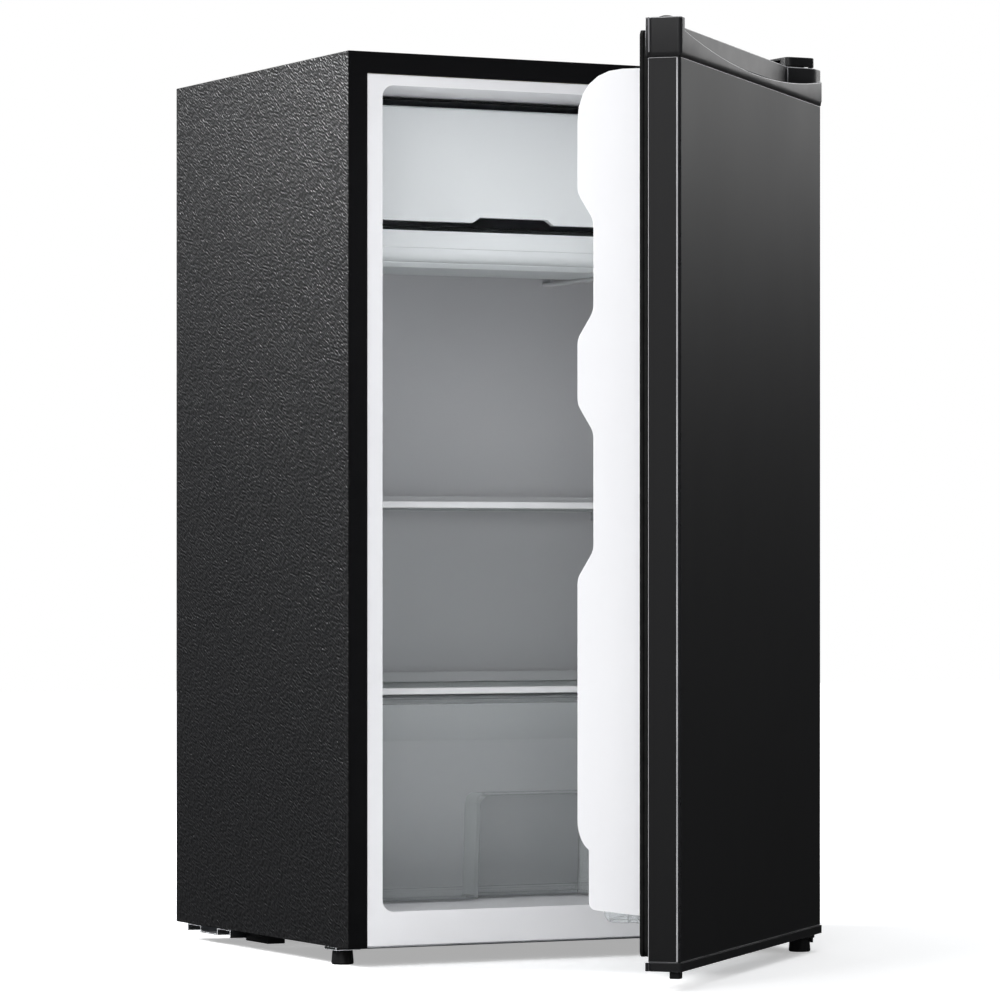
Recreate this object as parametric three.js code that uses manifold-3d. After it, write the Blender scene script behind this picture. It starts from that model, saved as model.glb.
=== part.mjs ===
// A compact free-standing refrigerator with one side-hinged door and an inner freezer box.
// Units are millimetres. +Z is up, the door is on the -Y side and its hinges are on the +X side.
// The origin is on the floor, under the middle of the cabinet's footprint.
// The door stands part open in the rest pose.

import * as THREE from 'three';
import { mergeVertices } from 'three/addons/utils/BufferGeometryUtils.js';
import Module from 'manifold-3d';

const wasm = await Module();
wasm.setup();

// ---------------------------------------------------------------- driving sizes

// Cabinet
const cabinetWidth = 475;
const cabinetDepth = 393;
const cabinetHeight = 810;
const floorGap = 16.5;
const sheet = 1.5;
const sideReturn = 19.3;
const topReturn = 19.6;
const rearReturn = 14;
const touchGap = 0.3;

// Inner liner and insulation
const sideWall = 34.8;
const ceilingWall = 29.6;
const floorWall = 32.7;
const rearWall = 48;
const linerSheet = 2;
const openingRadius = 11;
const machineDepth = 140;
const machineHeight = 182;
const machineSlope = 40;
const stepWall = 30;
const stepCover = 6;

// Door
const doorRestAngle = 44.6;
const doorShort = 2;
const gasketGap = 8.2;
const slabThickness = 28.5;
const doorSheet = 1.2;
const doorRadius = 4;
const doorUnderCabinetTop = -2.3;
const doorAboveCabinetBottom = 0.4;
const topCapHeight = 33.9;
const bottomCapHeight = 7.3;
const capProud = 1.5;
const pinFromSide = 16;
const pinFromFront = 20;
const pinRadius = 4;
const runningGap = 0.8;

// Door liner
const freeDikeInset = 43.5;
const hingeDikeInset = 40;
const dikeWidth = 22;
const dikeDepth = 76.7;
const dikeRecess = 14.4;
const dikeFootDepth = 66.4;
const hingeDikeNeck = 44;
const hingeDikeTop = 150;
const hingeDikeShallow = 20;
const dikeUnderTop = 38.3;
const dikeAboveBottom = 41.6;
const recessDrop = 130.1;
const recessOverTopRack = 39.5;
const recessOverMiddleRack = 38.5;
const recessUnderRack = 9;

// Door racks, from the bottom one up
const rackDepth = 62;
const rackHeights = [92, 62, 56];
const bottomRackLift = 35.6;
const middleRackRise = 5;
const topRackDrop = 304;

// Inside fittings
const fittingSetback = 84;
const shelfThickness = 5.8;
const glassThickness = 4;
const shelfAboveStep = 8.7;
const shelfSpacing = 172.9;
const railDepth = 9;
const railHeight = 8;
const sideClearance = 1.2;

// Freezer box
const freezerWidth = 347;
const freezerDrop = 150;
const freezerSheet = 1.6;
const flapThickness = 7;
const flapHeight = 106.3;
const flapLift = 5.3;
const trayHeight = 28;
const trayUnderFreezer = 3.5;

// Crisper
const crisperHeight = 183.3;
const crisperLean = 12;
const crisperWall = 2.5;
const crisperNotchWidth = 119;
const crisperNotchDepth = 26;
const crisperNotchHeight = 96;
const crisperNotchCorner = 10;

// ---------------------------------------------------------------- places worked out from them

const left = -cabinetWidth / 2;
const right = cabinetWidth / 2;
const front = -cabinetDepth / 2;
const back = cabinetDepth / 2;
const bottom = floorGap;
const top = bottom + cabinetHeight;

const roomLeft = left + sideWall;
const roomRight = right - sideWall;
const roomFloor = bottom + floorWall;
const roomCeiling = top - ceilingWall;
const roomBack = back - rearWall;

const machineFront = back - machineDepth;
const machineRoof = bottom + machineHeight;
const stepFront = machineFront - stepWall;
const stepTop = machineRoof + stepWall + stepCover;

const doorLeft = left + doorShort;
const doorRight = right;
const doorInner = front - gasketGap;
const doorOuter = doorInner - slabThickness;
const doorBottom = bottom + doorAboveCabinetBottom;
const doorTop = top - doorUnderCabinetTop;
const topSeam = doorTop - topCapHeight;
const bottomSeam = doorBottom + bottomCapHeight;
const pinX = right - pinFromSide;
const pinY = front - pinFromFront;

const fittingFront = front + fittingSetback;
const lowerShelfZ = stepTop + shelfAboveStep;
const upperShelfZ = lowerShelfZ + shelfSpacing;
const freezerFloor = top - freezerDrop;

// ---------------------------------------------------------------- shape helpers

// Turns a three.js geometry into a solid that can be joined and cut.
function solidOf(geometry) {
  const bare = geometry.index ? geometry.toNonIndexed() : geometry.clone();
  bare.deleteAttribute('normal');
  bare.deleteAttribute('uv');
  const welded = mergeVertices(bare, 1e-4);
  return new wasm.Manifold(new wasm.Mesh({
    numProp: 3,
    vertProperties: new Float32Array(welded.attributes.position.array),
    triVerts: new Uint32Array(welded.index.array),
  }));
}

function geometryOf(solid) {
  const mesh = solid.getMesh();
  const geometry = new THREE.BufferGeometry();
  geometry.setAttribute('position', new THREE.BufferAttribute(mesh.vertProperties, 3));
  geometry.setIndex(new THREE.BufferAttribute(mesh.triVerts, 1));
  geometry.computeVertexNormals();
  return geometry;
}

function joined(...solids) {
  return solids.reduce((sum, next) => sum.add(next));
}

function block(x0, x1, y0, y1, z0, z1) {
  const geometry = new THREE.BoxGeometry(x1 - x0, y1 - y0, z1 - z0);
  geometry.translate((x0 + x1) / 2, (y0 + y1) / 2, (z0 + z1) / 2);
  return solidOf(geometry);
}

function outlineOf(points) {
  return new THREE.Shape(points.map(([u, v]) => new THREE.Vector2(u, v)));
}

function roundedOutline(u0, u1, v0, v1, radius) {
  const r = Math.max(0.01, Math.min(radius, (u1 - u0) / 2 - 0.01, (v1 - v0) / 2 - 0.01));
  const shape = new THREE.Shape();
  shape.moveTo(u0 + r, v0);
  shape.lineTo(u1 - r, v0);
  shape.absarc(u1 - r, v0 + r, r, -Math.PI / 2, 0);
  shape.lineTo(u1, v1 - r);
  shape.absarc(u1 - r, v1 - r, r, 0, Math.PI / 2);
  shape.lineTo(u0 + r, v1);
  shape.absarc(u0 + r, v1 - r, r, Math.PI / 2, Math.PI);
  shape.lineTo(u0, v0 + r);
  shape.absarc(u0 + r, v0 + r, r, Math.PI, Math.PI * 1.5);
  return shape;
}

// The outline of a bent strip: a row of points given a thickness to the left of their direction.
function stripOutline(points, thickness) {
  const path = points.map(([u, v]) => new THREE.Vector2(u, v));
  const far = path.map((point, i) => {
    const before = i > 0 ? point.clone().sub(path[i - 1]).normalize() : null;
    const after = i < path.length - 1 ? path[i + 1].clone().sub(point).normalize() : null;
    const a = before || after;
    const b = after || before;
    const normal = new THREE.Vector2(-a.y - b.y, a.x + b.x).normalize();
    const stretch = thickness / Math.max(0.2, normal.dot(new THREE.Vector2(-a.y, a.x)));
    return point.clone().addScaledVector(normal, stretch);
  });
  return new THREE.Shape([...path, ...far.reverse()]);
}

function extruded(shape, length, arcSteps) {
  return new THREE.ExtrudeGeometry(shape, { depth: length, bevelEnabled: false, curveSegments: arcSteps });
}

// The outline lies in X and Y and is raised from z0 to z1.
function raised(shape, z0, z1, arcSteps = 5) {
  const geometry = extruded(shape, z1 - z0, arcSteps);
  geometry.translate(0, 0, z0);
  return solidOf(geometry);
}

// The outline lies in X and Z and runs from y0 to y1.
function alongY(shape, y0, y1, arcSteps = 5) {
  const geometry = extruded(shape, y1 - y0, arcSteps);
  geometry.rotateX(Math.PI / 2);
  geometry.translate(0, y1, 0);
  return solidOf(geometry);
}

// The outline lies in Y and Z and runs from x0 to x1.
function alongX(shape, x0, x1, arcSteps = 5) {
  const geometry = extruded(shape, x1 - x0, arcSteps);
  geometry.rotateX(Math.PI / 2);
  geometry.rotateZ(Math.PI / 2);
  geometry.translate(x0, 0, 0);
  return solidOf(geometry);
}

// A turned piece about a vertical axis, from [radius, height] points that start and end on the axis.
function turned(points, x, y, sides = 20) {
  const geometry = new THREE.LatheGeometry(points.map(([r, z]) => new THREE.Vector2(r, z)), sides);
  geometry.rotateX(Math.PI / 2);
  geometry.translate(x, y, 0);
  return solidOf(geometry);
}

function rod(radius, x, y, z0, z1, sides = 16) {
  return turned([[0, z0], [radius, z0], [radius, z1], [0, z1]], x, y, sides);
}

function rodAlongX(radius, x0, x1, y, z, sides = 16) {
  const geometry = new THREE.CylinderGeometry(radius, radius, x1 - x0, sides);
  geometry.rotateZ(Math.PI / 2);
  geometry.translate((x0 + x1) / 2, y, z);
  return solidOf(geometry);
}

function rodAlongY(radius, x, y0, y1, z, sides = 16) {
  const geometry = new THREE.CylinderGeometry(radius, radius, y1 - y0, sides);
  geometry.translate(x, (y0 + y1) / 2, z);
  return solidOf(geometry);
}

// A round tube that follows a path of points.
function pipe(points, radius, steps, sides = 6) {
  const places = points.map(([x, y, z]) => new THREE.Vector3(x, y, z));
  const curve = new THREE.CatmullRomCurve3(places, false, 'centripetal');
  const section = new THREE.Shape();
  section.absarc(0, 0, radius, 0, Math.PI * 2);
  const geometry = new THREE.ExtrudeGeometry(section, {
    steps,
    extrudePath: curve,
    curveSegments: Math.max(3, Math.round(sides / 2)),
  });
  return solidOf(geometry);
}

// ---------------------------------------------------------------- materials

function paint(color, roughness, metalness = 0, opacity = 1) {
  return () => new THREE.MeshStandardMaterial({
    color,
    roughness,
    metalness,
    opacity,
    transparent: opacity < 1,
  });
}

const grainedSteel = paint(0x2b2b2e, 0.55, 0.2);
const doorSteel = paint(0x26272a, 0.35, 0.3);
const blackPlastic = paint(0x1c1c1e, 0.45);
const whitePlastic = paint(0xe4e5e8, 0.4);
const milkyPlastic = paint(0xcdd3d3, 0.35);
const clearPlastic = paint(0xdfe8ea, 0.1, 0, 0.3);
const shelfGlass = paint(0xcfe0dc, 0.05, 0, 0.3);
const blackRubber = paint(0x151515, 0.8);
const zincSteel = paint(0xb4b6b8, 0.35, 0.9);
const aluminium = paint(0xc3c7c9, 0.4, 0.8);
const copper = paint(0xb87350, 0.35, 0.9);
const foam = paint(0xe8dcae, 0.9);
const blackEnamel = paint(0x161617, 0.3, 0.3);

// ---------------------------------------------------------------- scene graph

const group = new THREE.Group();
group.name = 'mini_fridge';

// The door's pieces are modelled shut and swung open together about the hinge pins.
const doorGroup = new THREE.Group();
doorGroup.position.set(pinX, pinY, 0);
doorGroup.rotation.z = THREE.MathUtils.degToRad(doorRestAngle);
group.add(doorGroup);

function addTo(parent, name, solid, material, dx = 0, dy = 0) {
  const geometry = geometryOf(solid);
  geometry.translate(-dx, -dy, 0);
  const mesh = new THREE.Mesh(geometry, material());
  mesh.name = name;
  parent.add(mesh);
}

function addFixed(name, solid, material) {
  addTo(group, name, solid, material);
}

function addDoor(name, solid, material) {
  addTo(doorGroup, name, solid, material, pinX, pinY);
}

// ---------------------------------------------------------------- cabinet shell

// One painted steel sheet folded down both sides, with narrow returns at the front and the back.
function outerShell() {
  const wrap = alongY(
    stripOutline([[left, bottom], [left, top], [right, top], [right, bottom]].reverse(), sheet),
    front,
    back,
  );
  const frame = (sideWidth, topWidth, y0) => joined(
    block(left, left + sideWidth, y0, y0 + sheet, bottom, top),
    block(right - sideWidth, right, y0, y0 + sheet, bottom, top),
    block(left, right, y0, y0 + sheet, top - topWidth, top),
  );
  return joined(wrap, frame(sideReturn, topReturn, front), frame(rearReturn, rearReturn, back - sheet));
}

// The bottom sheet runs back from the door sill and folds up and over the compressor space.
function floorPanel() {
  const path = [
    [front, bottom],
    [machineFront, bottom],
    [machineFront, machineRoof - machineSlope],
    [machineFront + machineSlope, machineRoof],
    [back - sheet - touchGap, machineRoof],
  ];
  const inset = sheet + touchGap;
  const folded = alongX(stripOutline(path, sheet), left + inset, right - inset);
  const behindReturn = joined(
    block(left, left + sideReturn + touchGap, front - 1, front + inset, 0, bottom + 10),
    block(right - sideReturn - touchGap, right, front - 1, front + inset, 0, bottom + 10),
  );
  const besideReturn = joined(
    block(left, left + rearReturn + touchGap, back - inset, back, 0, top),
    block(right - rearReturn - touchGap, right, back - inset, back, 0, top),
  );
  return folded.subtract(behindReturn).subtract(besideReturn);
}

function backPanel() {
  const inset = sheet + touchGap;
  const y1 = back - sheet - touchGap;
  return block(left + inset, right - inset, y1 - sheet, y1, machineRoof + sheet + touchGap, top - inset);
}

// ---------------------------------------------------------------- liner and insulation

const freezerLeft = roomLeft + 2.2;
const freezerRight = freezerLeft + freezerWidth;
const trayZ1 = freezerFloor - trayUnderFreezer;
const trayZ0 = trayZ1 - trayHeight;
const trayBack = roomBack - 60;

// The room's side view: a deep upper part, and a shallower floor in front of the compressor step.
function roomSideView(grow) {
  const f = front - 5;
  return outlineOf([
    [f, roomFloor - grow],
    [stepFront + grow, roomFloor - grow],
    [stepFront + grow, stepTop - machineSlope - grow],
    [stepFront + machineSlope + grow, stepTop - grow],
    [roomBack + grow, stepTop - grow],
    [roomBack + grow, roomCeiling + grow],
    [f, roomCeiling + grow],
  ]);
}

function roomSolid(grow, y0) {
  const section = roundedOutline(
    roomLeft - grow,
    roomRight + grow,
    roomFloor - grow,
    roomCeiling + grow,
    openingRadius + grow,
  );
  const bulk = alongY(section, y0, roomBack + grow + 1);
  return bulk.intersect(alongX(roomSideView(grow), roomLeft - grow - 1, roomRight + grow + 1));
}

const flangeFront = front + 1;

function innerLiner() {
  const flange = alongY(
    outlineOf([
      [left + sideReturn + touchGap, bottom + sheet + touchGap],
      [right - sideReturn - touchGap, bottom + sheet + touchGap],
      [right - sideReturn - touchGap, top - topReturn - touchGap],
      [left + sideReturn + touchGap, top - topReturn - touchGap],
    ]),
    flangeFront,
    flangeFront + linerSheet,
  );
  const tub = roomSolid(linerSheet, flangeFront).subtract(roomSolid(0, front - 2));
  const rails = [upperShelfZ, lowerShelfZ].flatMap((shelfZ) => [-1, 1].map((side) => {
    const railTop = shelfZ - touchGap;
    const wall = side * roomRight;
    const inner = side * (roomRight - railDepth);
    return block(
      Math.min(wall + side, inner),
      Math.max(wall + side, inner),
      fittingFront + 6,
      roomBack + 0.5,
      railTop - railHeight,
      railTop,
    );
  }));
  const trayLedge = block(
    roomLeft - 1,
    freezerLeft + 8,
    fittingFront + 24,
    roomBack + 0.5,
    trayZ0 - touchGap - 4,
    trayZ0 - touchGap,
  );
  return joined(flange.subtract(roomSolid(0, front - 2)), tub, trayLedge, ...rails);
}

function cabinetFoam() {
  const inset = sheet + touchGap;
  const whole = block(
    left + inset,
    right - inset,
    flangeFront + linerSheet + touchGap,
    back - 2 * (sheet + touchGap),
    bottom + inset,
    top - inset,
  );
  const machineSpace = alongX(
    outlineOf([
      [machineFront - inset, -1],
      [machineFront - inset, machineRoof - machineSlope + inset],
      [machineFront + machineSlope - inset, machineRoof + inset],
      [back + 5, machineRoof + inset],
      [back + 5, -1],
    ]),
    left - 1,
    right + 1,
  );
  return whole.subtract(roomSolid(linerSheet + touchGap, front)).subtract(machineSpace);
}

// ---------------------------------------------------------------- underside and machine space

const plateTop = bottom - touchGap;
const channelDepth = 7.7;
const frontChannel = back - 114.5;
const rearChannel = back - 44;
const channelWidth = 29;

// A corrugated steel plate under the machine space. Two raised channels carry the compressor.
function basePlate() {
  const low = plateTop - channelDepth;
  const path = [
    [frontChannel, low - 1.2],
    [frontChannel, plateTop - sheet],
    [frontChannel + channelWidth, plateTop - sheet],
    [frontChannel + channelWidth, low],
    [rearChannel, low],
    [rearChannel, plateTop - sheet],
    [rearChannel + channelWidth, plateTop - sheet],
    [rearChannel + channelWidth, low],
  ];
  return alongX(stripOutline(path, sheet), left + 6, right - 6);
}

function baseRail(side) {
  const x0 = side > 0 ? right - 40 : left + 22;
  return block(x0, x0 + 18, machineFront - 28, frontChannel - sheet - touchGap, plateTop - 11, plateTop);
}

const footRadius = 10.3;
const leftFootX = left + 14.5;
const leftFootY = front + 43;
const studRadius = 4;
const footPlate = 3;
const pinReach = 17;

// A levelling foot: a tapered plastic pad on a threaded stud.
function levellingFoot(x, y, padHeight) {
  const studTop = plateTop - 2;
  return turned([
    [0, 0],
    [footRadius - 0.8, 0],
    [footRadius, 1.2],
    [footRadius - 1, padHeight],
    [studRadius, padHeight],
    [studRadius, studTop],
    [0, studTop],
  ], x, y, 24);
}

function leftFootPlate() {
  const half = 12.5;
  const z1 = plateTop;
  return block(leftFootX - half, leftFootX + half, leftFootY - half, leftFootY + half, z1 - footPlate, z1)
    .subtract(rod(studRadius + runningGap, leftFootX, leftFootY, 0, top));
}

function rearFoot(x) {
  const y = rearChannel + channelWidth / 2;
  const underChannel = plateTop - sheet - touchGap;
  return turned([[0, 0], [12, 0], [13, 1.5], [11, underChannel], [0, underChannel]], x, y, 20);
}

// The lower hinge: a steel plate under the cabinet's front corner, with a drop rim and a fixed pin.
function lowerHingeBracket() {
  const x0 = pinX - 34;
  const x1 = pinX + 12.5;
  const y0 = pinY - 13;
  const y1 = front + 44;
  const plate = raised(roundedOutline(x0, x1, y0, y1, 9), plateTop - footPlate, plateTop);
  const rim = raised(roundedOutline(x0, x1, y0, y1, 9), plateTop - 8, plateTop)
    .subtract(raised(roundedOutline(x0 + 2, x1 + 5, y0 - 5, y1 + 5, 1), 0, plateTop));
  const outerRim = block(x1 - 2, x1, y0 + 9, y1 - 9, plateTop - 8, plateTop - 1);
  const pin = turned([
    [0, plateTop - 1],
    [pinRadius, plateTop - 1],
    [pinRadius, plateTop + pinReach - 1],
    [pinRadius - 1, plateTop + pinReach],
    [0, plateTop + pinReach],
  ], pinX, pinY);
  const studHole = rod(studRadius + runningGap, pinX, pinY, 0, plateTop - 1.5);
  return joined(plate, rim, outerRim).subtract(studHole).add(pin);
}

const leafThickness = 3;
const pinHead = 1.5;
const leafZ = doorTop + 2.8;

// The upper hinge: a joggled steel leaf screwed to the cabinet's top, with a pin riveted into it.
function upperHingeLeaf() {
  const base = top + touchGap;
  const sideView = stripOutline([
    [front + 52, base],
    [front + 10, base],
    [front - 1, leafZ],
    [pinY - pinRadius - 2.5, leafZ],
  ].reverse(), leafThickness);
  const strip = alongX(sideView, pinX - 9, pinX + 9);
  const z0 = leafZ - pinReach;
  const z1 = leafZ + leafThickness;
  const pin = turned([
    [0, z0],
    [pinRadius - 1, z0],
    [pinRadius, z0 + 1],
    [pinRadius, z1 - 0.5],
    [pinRadius + 2, z1 - 0.5],
    [pinRadius + 2, z1 + pinHead],
    [0, z1 + pinHead],
  ], pinX, pinY);
  return strip.add(pin);
}

const coverTop = top + 12.5;
const coverX0 = pinX - 20;
const coverX1 = pinX + 12;
const coverY0 = pinY - 10;
const coverY1 = front + 60;

const coverCheek = 12;
const coverGap = 1.2;

function hingeCover() {
  const shell = raised(roundedOutline(coverX0, coverX1, coverY0, coverY1, 6), top + touchGap, coverTop);
  const inside = roundedOutline(coverX0 + 2, coverX1 - 2, coverY0 + 2, coverY1 - 2, 4);
  const room = raised(inside, 0, coverTop - 1.2);
  const headTop = leafZ + leafThickness + pinHead + touchGap;
  const lift = block(coverX0 - 5, coverX1 + 5, coverY0 + coverCheek, front + 3, 0, headTop);
  const noseLift = block(coverX0 - 5, coverX1 + 5, coverY0 - 5, front + 3, 0, doorTop + coverGap);
  return shell.subtract(room).subtract(lift).subtract(noseLift);
}

function hingeScrew(y) {
  const z0 = top + touchGap + leafThickness + touchGap;
  return turned([[0, z0], [4.2, z0], [3.4, z0 + 1.8], [0, z0 + 2.2]], pinX, y, 12);
}

const compressorX = 20;
const compressorY = back - 66;
const mountTop = plateTop + 13;
const mountSpacing = 66;

function compressorShell() {
  const z0 = mountTop + 4;
  const r = 56;
  const points = [[0, z0], [30, z0]];
  for (let i = 1; i <= 4; i += 1) {
    const angle = (i / 4) * Math.PI / 2;
    points.push([30 + (r - 30) * Math.sin(angle), z0 + 24 * (1 - Math.cos(angle))]);
  }
  points.push([r, z0 + 66]);
  points.push([r + 2.5, z0 + 67]);
  points.push([r + 2.5, z0 + 71]);
  points.push([r, z0 + 72]);
  for (let i = 1; i <= 5; i += 1) {
    const angle = (i / 5) * Math.PI / 2;
    points.push([r * Math.cos(angle), z0 + 88 + 40 * Math.sin(angle)]);
  }
  const can = turned(points, compressorX, compressorY, 24);
  const footings = block(
    compressorX - mountSpacing - 12,
    compressorX + mountSpacing + 12,
    compressorY - 44,
    compressorY + 44,
    mountTop,
    mountTop + 4.5,
  );
  return can.add(footings);
}

function grommet(x, y) {
  const z0 = plateTop + touchGap;
  const z1 = mountTop - touchGap;
  return turned([[0, z0], [9, z0], [9, z0 + 4], [6.5, z0 + 6], [9, z0 + 8], [9, z1], [0, z1]], x, y, 14);
}

function starterCover() {
  const x1 = compressorX - 58.5 - 2;
  return alongY(
    roundedOutline(x1 - 34, x1, mountTop + 30, mountTop + 92, 5),
    compressorY - 27,
    compressorY + 27,
    3,
  );
}

const panZ = mountTop + 4 + 128 + 2;

function evaporatingPan() {
  const outer = alongXPan(0, panZ, panZ + 13);
  const inner = alongXPan(2, panZ + 2, panZ + 20);
  return outer.subtract(inner);
}

function alongXPan(inset, z0, z1) {
  const outline = roundedOutline(
    compressorX - 74 + inset,
    compressorX + 74 - inset,
    compressorY - 20 + inset,
    compressorY + 52 - inset,
    12 - inset,
  );
  return raised(outline, z0, z1, 3);
}

function drainTube() {
  const x = compressorX - 60;
  const y = compressorY + 30;
  const outer = rod(6, x, y, panZ + 5, machineRoof - touchGap, 12);
  return outer.subtract(rod(4, x, y, 0, top, 12));
}

function filterDrier() {
  const x = compressorX + 105;
  const y = compressorY + 20;
  return turned([
    [0, 55],
    [2.5, 55],
    [2.5, 62],
    [9, 74],
    [9, 150],
    [2.5, 162],
    [2.5, machineRoof - touchGap],
    [0, machineRoof - touchGap],
  ], x, y, 12);
}

function suctionTube() {
  const x = compressorX + 58.5 + 4.5;
  const y = compressorY + 6;
  return pipe([
    [x, y, mountTop + 60],
    [x + 14, y, mountTop + 62],
    [x + 20, y, mountTop + 76],
    [x + 20, y - 2, mountTop + 110],
    [x + 20, y - 4, machineRoof - touchGap],
  ], 4, 12, 8);
}

function cordGland() {
  const x = left + 60;
  const y0 = back - sheet - touchGap - 12;
  const collar = rodAlongY(9, x, y0, back + 4, bottom + 60, 14);
  const bore = rodAlongY(4, x, y0 - 5, back + 9, bottom + 60, 10);
  return collar.subtract(bore);
}

// ---------------------------------------------------------------- condenser on the back

const coilStandoff = 9;
const coilRadius = 2.6;
const coilFromSide = 67.5;
const coilAboveMachine = 80;
const coilBelowTop = 95;
const coilPitch = 45;
const coilHalfWidth = right - coilFromSide;
const coilBottom = machineRoof + coilAboveMachine;
const coilPasses = 1 + Math.floor((top - coilBelowTop - coilBottom) / coilPitch);
const coilY = back + coilStandoff;

// One steel tube that runs to and fro up the back in level passes.
function condenserCoil() {
  const path = new THREE.CurvePath();
  const turn = coilPitch / 2;
  for (let i = 0; i < coilPasses; i += 1) {
    const z = coilBottom + i * coilPitch;
    const side = i % 2 === 0 ? 1 : -1;
    const reach = coilHalfWidth - turn;
    path.add(new THREE.LineCurve3(
      new THREE.Vector3(-side * reach, coilY, z),
      new THREE.Vector3(side * reach, coilY, z),
    ));
    if (i < coilPasses - 1) {
      path.add(new THREE.CubicBezierCurve3(
        new THREE.Vector3(side * reach, coilY, z),
        new THREE.Vector3(side * (reach + turn * 1.33), coilY, z),
        new THREE.Vector3(side * (reach + turn * 1.33), coilY, z + coilPitch),
        new THREE.Vector3(side * reach, coilY, z + coilPitch),
      ));
    }
  }
  return bentTube(path, coilRadius);
}

// Sweeps a six-sided section along a path that stays in one upright plane.
function bentTube(path, radius) {
  const places = [];
  path.curves.forEach((curve, i) => {
    const steps = curve.isLineCurve3 ? 1 : 6;
    curve.getPoints(steps).forEach((point, k) => {
      if (i === 0 || k > 0) places.push(point);
    });
  });
  const ring = 6;
  const vertices = [];
  places.forEach((point, i) => {
    const before = places[Math.max(0, i - 1)];
    const after = places[Math.min(places.length - 1, i + 1)];
    const along = after.clone().sub(before).normalize();
    const outward = new THREE.Vector3(0, 1, 0);
    const across = new THREE.Vector3().crossVectors(along, outward).normalize();
    for (let k = 0; k < ring; k += 1) {
      const angle = (k / ring) * Math.PI * 2;
      const place = point.clone()
        .addScaledVector(outward, radius * Math.cos(angle))
        .addScaledVector(across, radius * Math.sin(angle));
      vertices.push(place.x, place.y, place.z);
    }
  });
  const faces = [];
  const last = places.length - 1;
  for (let i = 0; i < last; i += 1) {
    for (let k = 0; k < ring; k += 1) {
      const a = i * ring + k;
      const b = i * ring + ((k + 1) % ring);
      faces.push(a, b, b + ring, a, b + ring, a + ring);
    }
  }
  for (let k = 1; k < ring - 1; k += 1) {
    faces.push(0, k + 1, k);
    faces.push(last * ring, last * ring + k, last * ring + k + 1);
  }
  const geometry = new THREE.BufferGeometry();
  geometry.setAttribute('position', new THREE.Float32BufferAttribute(vertices, 3));
  geometry.setIndex(faces);
  return solidOf(geometry);
}

// An upright plastic rack on each side, screwed to the back, with an open slot for every pass.
function condenserBracket(side) {
  const x = side * (coilHalfWidth - 60);
  const y0 = back - sheet;
  const y1 = coilY + coilRadius + 2.5;
  const slotHalf = coilRadius + 0.8;
  let bar = block(x - 7, x + 7, y0, y1, coilBottom - 14, coilBottom + (coilPasses - 1) * coilPitch + 14);
  for (let i = 0; i < coilPasses; i += 1) {
    const z = coilBottom + i * coilPitch;
    const slot = block(x - 9, x + 9, coilY - coilRadius - touchGap, y1 + 5, z - slotHalf, z + slotHalf);
    bar = bar.subtract(slot);
  }
  return bar;
}

// ---------------------------------------------------------------- shelves

const shelfLeft = roomLeft + sideClearance;
const shelfRight = roomRight - sideClearance;
const shelfBack = roomBack - 8;
const trimDepth = 13;
const glassBite = 6;

function glassPlate(shelfZ, grow) {
  const mid = shelfZ + shelfThickness / 2;
  return block(
    shelfLeft + 2 - grow,
    shelfRight - 2 + grow,
    fittingFront + trimDepth - glassBite - grow,
    shelfBack - trimDepth + glassBite + grow,
    mid - glassThickness / 2 - grow,
    mid + glassThickness / 2 + grow,
  );
}

function shelfTrim(z0, y0, lip) {
  const bar = raised(
    roundedOutline(shelfLeft, shelfRight, y0, y0 + trimDepth, 3),
    z0,
    z0 + shelfThickness,
    3,
  );
  const rear = y0 + trimDepth;
  const upstand = block(shelfLeft + 4, shelfRight - 4, rear - 3, rear, z0 + 1, z0 + shelfThickness + lip);
  const whole = lip > 0 ? bar.add(upstand) : bar;
  return whole.subtract(glassPlate(z0, touchGap));
}

// ---------------------------------------------------------------- crisper drawer

const crisperBottom = bottom + 35;
const crisperTop = crisperBottom + crisperHeight;
const crisperLeft = roomLeft + 5;
const crisperRight = roomRight - 5;
const crisperFront = front + 94;
const crisperBack = stepFront - 6;

function crisperSideView(inset, frontShift) {
  const lean = crisperLean / crisperHeight;
  const z0 = crisperBottom + inset;
  const z1 = crisperTop + inset * 4;
  const y0 = crisperFront + frontShift + inset;
  return outlineOf([
    [y0 - lean * inset, z0],
    [crisperBack - inset, z0],
    [crisperBack - inset, z1],
    [y0 - lean * (z1 - crisperBottom), z1],
  ]);
}

function crisperNotch(grow) {
  const half = crisperNotchWidth / 2 + grow;
  const lean = crisperLean / crisperHeight;
  const y0 = crisperFront + crisperNotchDepth + grow;
  const z0 = crisperBottom - 20;
  const z1 = crisperBottom + crisperNotchHeight + grow;
  const side = outlineOf([
    [crisperFront - 60, z0],
    [y0 + lean * 20, z0],
    [y0 - lean * (z1 - crisperBottom), z1],
    [crisperFront - 60, z1],
  ]);
  const face = roundedOutline(-half, half, z0, z1, crisperNotchCorner);
  return alongX(side, -half, half).intersect(alongY(face, crisperFront - 70, y0 + 10));
}

// A clear drawer. Its front wall leans forward, and its low middle part is set back as a hand hold.
function crisperDrawer() {
  const outer = alongX(crisperSideView(0, 0), crisperLeft, crisperRight).subtract(crisperNotch(0));
  const hollow = alongX(
    crisperSideView(crisperWall, 0),
    crisperLeft + crisperWall,
    crisperRight - crisperWall,
  ).subtract(crisperNotch(crisperWall));
  const rimHeight = 5;
  const rim = block(
    crisperLeft - 2.5,
    crisperRight + 2.5,
    crisperFront,
    crisperBack + 2,
    crisperTop - rimHeight,
    crisperTop,
  ).subtract(block(
    crisperLeft + 1,
    crisperRight - 1,
    crisperFront - 10,
    crisperBack - 1,
    0,
    top,
  ));
  return joined(outer, rim).subtract(hollow);
}

// ---------------------------------------------------------------- freezer box

const freezerFront = fittingFront + flapThickness + 1.5;
const freezerBack = roomBack - 2;
const freezerTop = roomCeiling - 1.5;
const underCorner = roomCeiling - openingRadius / 2;

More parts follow.
